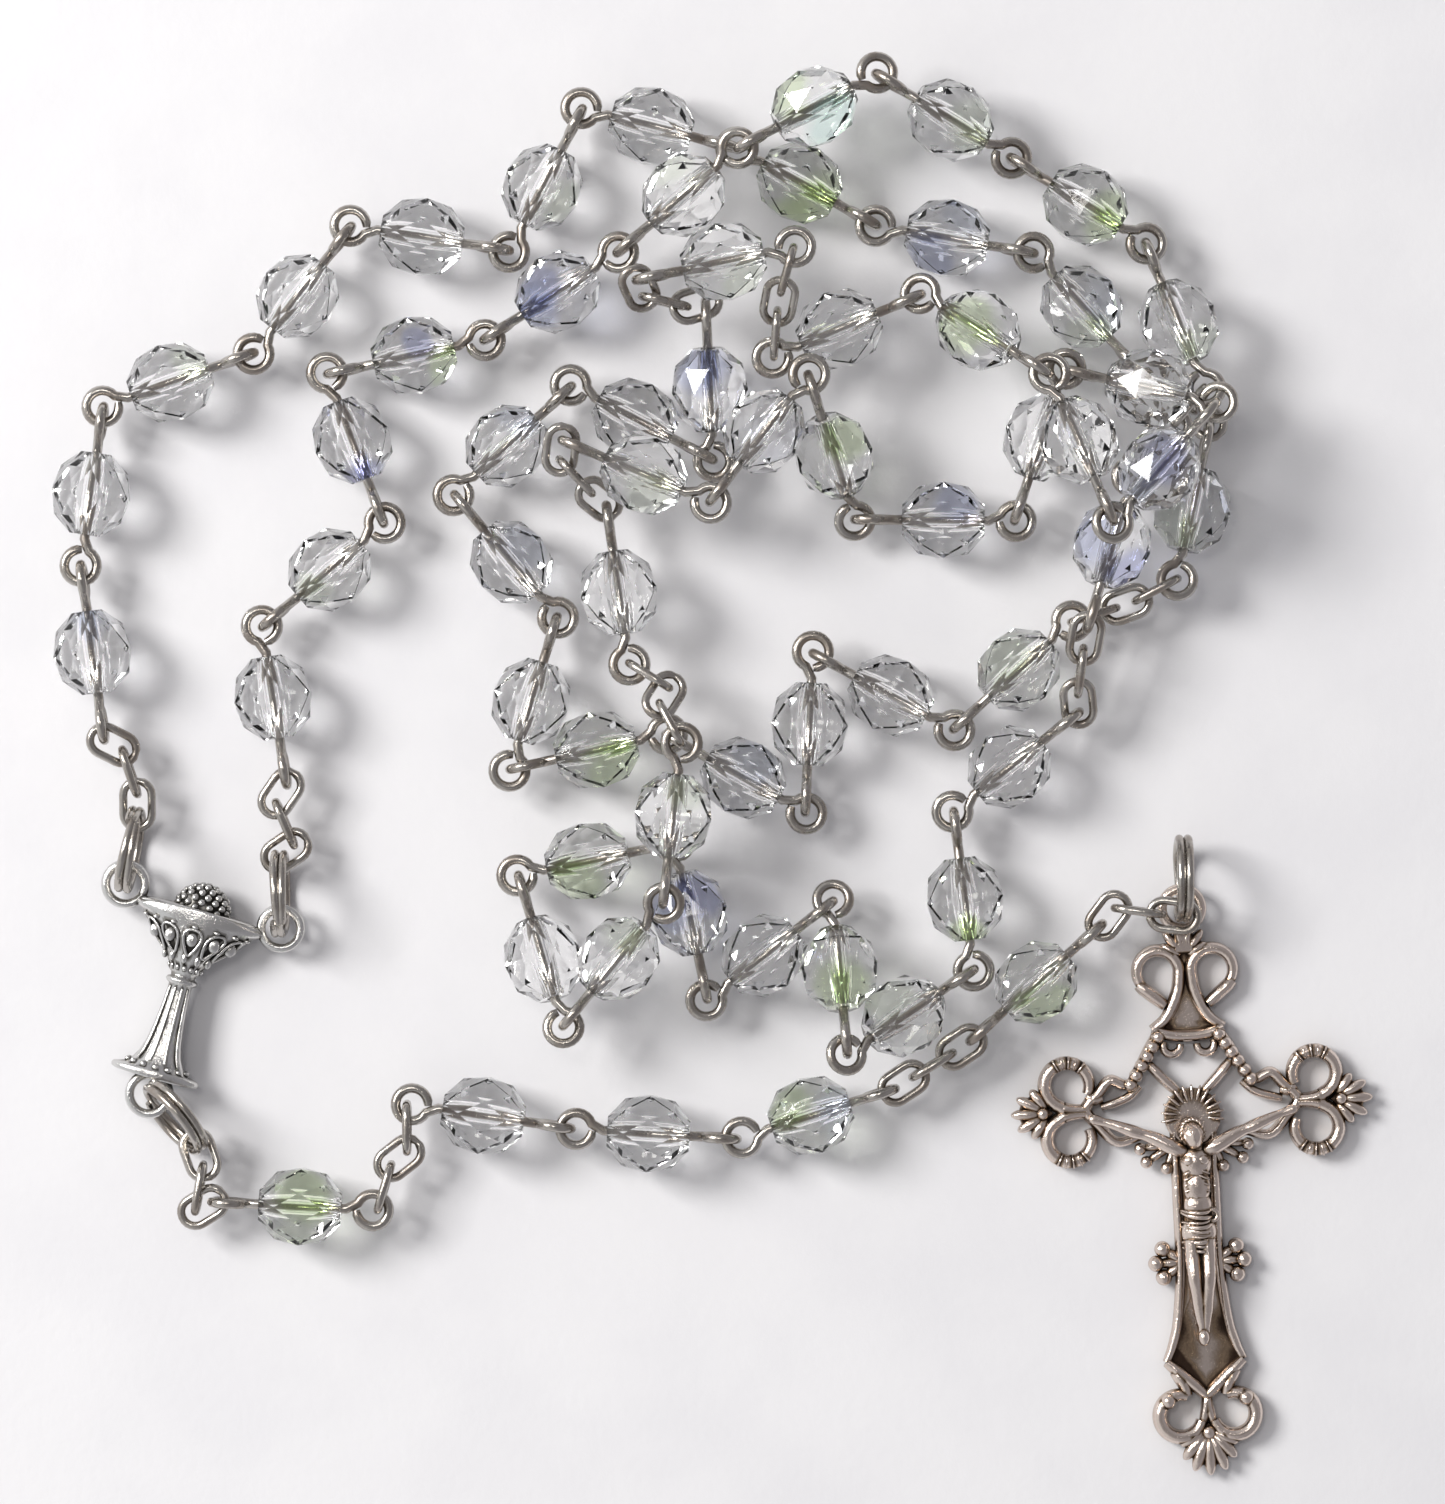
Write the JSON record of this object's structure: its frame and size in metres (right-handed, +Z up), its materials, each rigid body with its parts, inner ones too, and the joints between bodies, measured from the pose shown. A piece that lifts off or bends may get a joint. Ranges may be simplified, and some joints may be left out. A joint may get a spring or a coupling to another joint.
{
  "type": "rosary",
  "caption": "Rosary of clear faceted glass beads on silver wire with a chalice centre medal and an ornate crucifix, laid out in a loose heap on a flat surface.",
  "frame": {"origin": "centre of the bounding box at the surface that the rosary lies on", "axes": "+Z up from the surface, +Y from the crucifix to the top of the loop, +X to the right of the layout"},
  "size_m": [0.0931, 0.1004, 0.0123],
  "materials": {
    "crystal": "polished",
    "wire": "satin",
    "old_silver": "satin"
  },
  "bodies": {
    "loop_and_medal": {"centre_medal": "old_silver", "left_jump_ring": "wire", "right_jump_ring": "wire", "decade_2_beads": "crystal", "decade_3_beads": "crystal", "decade_4_beads": "crystal", "decade_1_pins": "wire", "decade_2_pins": "wire", "decade_3_pins": "wire", "decade_4_pins": "wire", "decade_5_pins": "wire", "our_father_pins": "wire", "loop_chain_links": "wire"},
    "decade_1_bead_1": {"decade_1_bead_1": "crystal"},
    "decade_1_bead_2": {"decade_1_bead_2": "crystal"},
    "decade_1_bead_3": {"decade_1_bead_3": "crystal"},
    "decade_1_bead_4": {"decade_1_bead_4": "crystal"},
    "decade_1_bead_5": {"decade_1_bead_5": "crystal"},
    "decade_1_bead_6": {"decade_1_bead_6": "crystal"},
    "decade_1_bead_7": {"decade_1_bead_7": "crystal"},
    "decade_1_bead_8": {"decade_1_bead_8": "crystal"},
    "decade_1_bead_9": {"decade_1_bead_9": "crystal"},
    "decade_1_bead_10": {"decade_1_bead_10": "crystal"},
    "decade_5_bead_1": {"decade_5_bead_1": "crystal"},
    "decade_5_bead_2": {"decade_5_bead_2": "crystal"},
    "decade_5_bead_3": {"decade_5_bead_3": "crystal"},
    "decade_5_bead_4": {"decade_5_bead_4": "crystal"},
    "decade_5_bead_5": {"decade_5_bead_5": "crystal"},
    "decade_5_bead_6": {"decade_5_bead_6": "crystal"},
    "decade_5_bead_7": {"decade_5_bead_7": "crystal"},
    "decade_5_bead_8": {"decade_5_bead_8": "crystal"},
    "decade_5_bead_9": {"decade_5_bead_9": "crystal"},
    "decade_5_bead_10": {"decade_5_bead_10": "crystal"},
    "our_father_bead_1": {"our_father_bead_1": "crystal"},
    "our_father_bead_2": {"our_father_bead_2": "crystal"},
    "our_father_bead_3": {"our_father_bead_3": "crystal"},
    "our_father_bead_4": {"our_father_bead_4": "crystal"},
    "foot_ring": {"pendant_jump_ring": "wire"},
    "first_chain": {"pendant_chain_1": "wire"},
    "first_pin": {"pendant_pin_1": "wire"},
    "second_chain": {"pendant_chain_2": "wire"},
    "second_pin": {"pendant_pin_2": "wire"},
    "third_pin": {"pendant_pin_3": "wire"},
    "fourth_pin": {"pendant_pin_4": "wire"},
    "third_chain": {"pendant_chain_3": "wire"},
    "fifth_pin": {"pendant_pin_5": "wire"},
    "fourth_chain": {"pendant_chain_4": "wire"},
    "crucifix_ring": {"crucifix_jump_ring": "wire"},
    "crucifix": {"cross": "old_silver", "corpus": "old_silver"},
    "pendant_bead_1": {"pendant_bead_1": "crystal"},
    "pendant_bead_2": {"pendant_bead_2": "crystal"},
    "pendant_bead_3": {"pendant_bead_3": "crystal"},
    "pendant_bead_4": {"pendant_bead_4": "crystal"},
    "pendant_bead_5": {"pendant_bead_5": "crystal"}
  },
  "joints": [
    {"name": "decade_1_bead_1_spin", "type": "hinge", "parent": "loop_and_medal", "child": "decade_1_bead_1", "pos_m": [-0.04334, 0.00785, 0.003], "axis": [-0.1323, 0.9912, 0], "continuous": true},
    {"name": "decade_1_bead_2_spin", "type": "hinge", "parent": "loop_and_medal", "child": "decade_1_bead_2", "pos_m": [-0.04345, 0.01899, 0.003], "axis": [0.1441, 0.9896, 0], "continuous": true},
    {"name": "decade_1_bead_3_spin", "type": "hinge", "parent": "loop_and_medal", "child": "decade_1_bead_3", "pos_m": [-0.03783, 0.02685, 0.003], "axis": [0.9422, 0.3352, 0], "continuous": true},
    {"name": "decade_1_bead_4_spin", "type": "hinge", "parent": "loop_and_medal", "child": "decade_1_bead_4", "pos_m": [-0.0289, 0.03291, 0.003], "axis": [0.6096, 0.7927, 0], "continuous": true},
    {"name": "decade_1_bead_5_spin", "type": "hinge", "parent": "loop_and_medal", "child": "decade_1_bead_5", "pos_m": [-0.02015, 0.0371, 0.003], "axis": [0.9881, -0.154, 0], "continuous": true},
    {"name": "decade_1_bead_6_spin", "type": "hinge", "parent": "loop_and_medal", "child": "decade_1_bead_6", "pos_m": [-0.01169, 0.04058, 0.003], "axis": [0.457, 0.8895, 0], "continuous": true},
    {"name": "decade_1_bead_7_spin", "type": "hinge", "parent": "loop_and_medal", "child": "decade_1_bead_7", "pos_m": [-0.00399, 0.04489, 0.003], "axis": [0.9685, -0.2491, 0], "continuous": true},
    {"name": "decade_1_bead_8_spin", "type": "hinge", "parent": "loop_and_medal", "child": "decade_1_bead_8", "pos_m": [0.00644, 0.04091, 0.003], "axis": [0.8743, -0.4854, 0], "continuous": true},
    {"name": "decade_1_bead_9_spin", "type": "hinge", "parent": "loop_and_medal", "child": "decade_1_bead_9", "pos_m": [0.01682, 0.037, 0.00309], "axis": [0.9844, -0.1748, 0.0178], "continuous": true},
    {"name": "decade_1_bead_10_spin", "type": "hinge", "parent": "loop_and_medal", "child": "decade_1_bead_10", "pos_m": [0.0263, 0.03218, 0.00302], "axis": [0.6647, -0.7463, -0.0356], "continuous": true},
    {"name": "decade_5_bead_1_spin", "type": "hinge", "parent": "loop_and_medal", "child": "decade_5_bead_1", "pos_m": [0.03303, 0.031, 0.00402], "axis": [-0.3579, 0.913, -0.1956], "continuous": true},
    {"name": "decade_5_bead_2_spin", "type": "hinge", "parent": "loop_and_medal", "child": "decade_5_bead_2", "pos_m": [0.02656, 0.03937, 0.00289], "axis": [-0.8459, 0.533, 0.0178], "continuous": true},
    {"name": "decade_5_bead_3_spin", "type": "hinge", "parent": "loop_and_medal", "child": "decade_5_bead_3", "pos_m": [0.01706, 0.04525, 0.0038], "axis": [-0.8444, 0.5112, 0.16], "continuous": true},
    {"name": "decade_5_bead_4_spin", "type": "hinge", "parent": "loop_and_medal", "child": "decade_5_bead_4", "pos_m": [0.00744, 0.04604, 0.00542], "axis": [-0.8675, -0.4816, 0.1244], "continuous": true},
    {"name": "decade_5_bead_5_spin", "type": "hinge", "parent": "loop_and_medal", "child": "decade_5_bead_5", "pos_m": [-0.00172, 0.03986, 0.00522], "axis": [-0.7474, -0.635, -0.1956], "continuous": true},
    {"name": "decade_5_bead_6_spin", "type": "hinge", "parent": "loop_and_medal", "child": "decade_5_bead_6", "pos_m": [-0.01057, 0.03319, 0.00356], "axis": [-0.837, -0.5399, -0.0889], "continuous": true},
    {"name": "decade_5_bead_7_spin", "type": "hinge", "parent": "loop_and_medal", "child": "decade_5_bead_7", "pos_m": [-0.02069, 0.02876, 0.003], "axis": [-0.9773, -0.2117, 0], "continuous": true},
    {"name": "decade_5_bead_8_spin", "type": "hinge", "parent": "loop_and_medal", "child": "decade_5_bead_8", "pos_m": [-0.02504, 0.02275, 0.003], "axis": [0.3523, -0.9359, 0], "continuous": true},
    {"name": "decade_5_bead_9_spin", "type": "hinge", "parent": "loop_and_medal", "child": "decade_5_bead_9", "pos_m": [-0.02664, 0.01366, 0.003], "axis": [-0.7611, -0.6486, 0], "continuous": true},
    {"name": "decade_5_bead_10_spin", "type": "hinge", "parent": "loop_and_medal", "child": "decade_5_bead_10", "pos_m": [-0.03062, 0.00467, 0.003], "axis": [0.1548, -0.9879, 0], "continuous": true},
    {"name": "our_father_bead_1_spin", "type": "hinge", "parent": "loop_and_medal", "child": "our_father_bead_1", "pos_m": [0.03406, 0.01789, 0.00292], "axis": [-0.2086, -0.9712, 0.1156], "continuous": true},
    {"name": "our_father_bead_2_spin", "type": "hinge", "parent": "loop_and_medal", "child": "our_father_bead_2", "pos_m": [0.00109, 0.03505, 0.00731], "axis": [0.9784, 0.2058, 0.0178], "continuous": true},
    {"name": "our_father_bead_3_spin", "type": "hinge", "parent": "loop_and_medal", "child": "our_father_bead_3", "pos_m": [-0.00625, 0.01201, 0.00453], "axis": [0.1441, -0.9881, 0.0533], "continuous": true},
    {"name": "our_father_bead_4_spin", "type": "hinge", "parent": "loop_and_medal", "child": "our_father_bead_4", "pos_m": [0.02836, 0.01536, 0.00466], "axis": [0.2859, 0.9463, -0.1511], "continuous": true},
    {"name": "foot_ring_swing", "type": "hinge", "parent": "loop_and_medal", "child": "foot_ring", "pos_m": [-0.03944, -0.02331, 0.0018], "axis": [0, 0, 1], "range_deg": [-6, 0]},
    {"name": "first_chain_swing", "type": "hinge", "parent": "foot_ring", "child": "first_chain", "pos_m": [-0.03598, -0.02711, 0.00244], "axis": [0, 0, 1], "range_deg": [-6, 0]},
    {"name": "first_pin_swing", "type": "hinge", "parent": "first_chain", "child": "first_pin", "pos_m": [-0.03495, -0.03085, 0.003], "axis": [0, 0, 1], "range_deg": [-6, 0]},
    {"name": "second_chain_swing", "type": "hinge", "parent": "first_pin", "child": "second_chain", "pos_m": [-0.02326, -0.03145, 0.003], "axis": [0, 0, 1], "range_deg": [-6, 0]},
    {"name": "second_pin_swing", "type": "hinge", "parent": "second_chain", "child": "second_pin", "pos_m": [-0.0212, -0.02393, 0.003], "axis": [0, 0, 1], "range_deg": [-6, 0]},
    {"name": "third_pin_swing", "type": "hinge", "parent": "second_pin", "child": "third_pin", "pos_m": [-0.00964, -0.02568, 0.003], "axis": [0, 0, 1], "range_deg": [-6, 0]},
    {"name": "fourth_pin_swing", "type": "hinge", "parent": "third_pin", "child": "fourth_pin", "pos_m": [0.00204, -0.02642, 0.003], "axis": [0, 0, 1], "range_deg": [-6, 0]},
    {"name": "third_chain_swing", "type": "hinge", "parent": "fourth_pin", "child": "third_chain", "pos_m": [0.01319, -0.02287, 0.003], "axis": [0, 0, 1], "range_deg": [-6, 0]},
    {"name": "fifth_pin_swing", "type": "hinge", "parent": "third_chain", "child": "fifth_pin", "pos_m": [0.01842, -0.01954, 0.003], "axis": [0, 0, 1], "range_deg": [-6, 0]},
    {"name": "fourth_chain_swing", "type": "hinge", "parent": "fifth_pin", "child": "fourth_chain", "pos_m": [0.02778, -0.01125, 0.003], "axis": [0, 0, 1], "range_deg": [-6, 0]},
    {"name": "crucifix_ring_swing", "type": "hinge", "parent": "fourth_chain", "child": "crucifix_ring", "pos_m": [0.03347, -0.01078, 0.00382], "axis": [0, 0, 1], "range_deg": [-6, 0]},
    {"name": "crucifix_swing", "type": "hinge", "parent": "crucifix_ring", "child": "crucifix", "pos_m": [0.03347, -0.01022, 0.0013], "axis": [0, 0, 1], "range_deg": [0, 30]},
    {"name": "pendant_bead_1_spin", "type": "hinge", "parent": "first_pin", "child": "pendant_bead_1", "pos_m": [-0.02871, -0.03117, 0.003], "axis": [0.9987, -0.0515, 0], "continuous": true},
    {"name": "pendant_bead_2_spin", "type": "hinge", "parent": "second_pin", "child": "pendant_bead_2", "pos_m": [-0.01581, -0.02475, 0.003], "axis": [0.9887, -0.15, 0], "continuous": true},
    {"name": "pendant_bead_3_spin", "type": "hinge", "parent": "third_pin", "child": "pendant_bead_3", "pos_m": [-0.0042, -0.02602, 0.003], "axis": [0.9981, -0.0624, 0], "continuous": true},
    {"name": "pendant_bead_4_spin", "type": "hinge", "parent": "fourth_pin", "child": "pendant_bead_4", "pos_m": [0.00723, -0.02476, 0.003], "axis": [0.9529, 0.3033, 0], "continuous": true},
    {"name": "pendant_bead_5_spin", "type": "hinge", "parent": "fifth_pin", "child": "pendant_bead_5", "pos_m": [0.0231, -0.0154, 0.003], "axis": [0.7491, 0.6625, 0], "continuous": true}
  ]
}
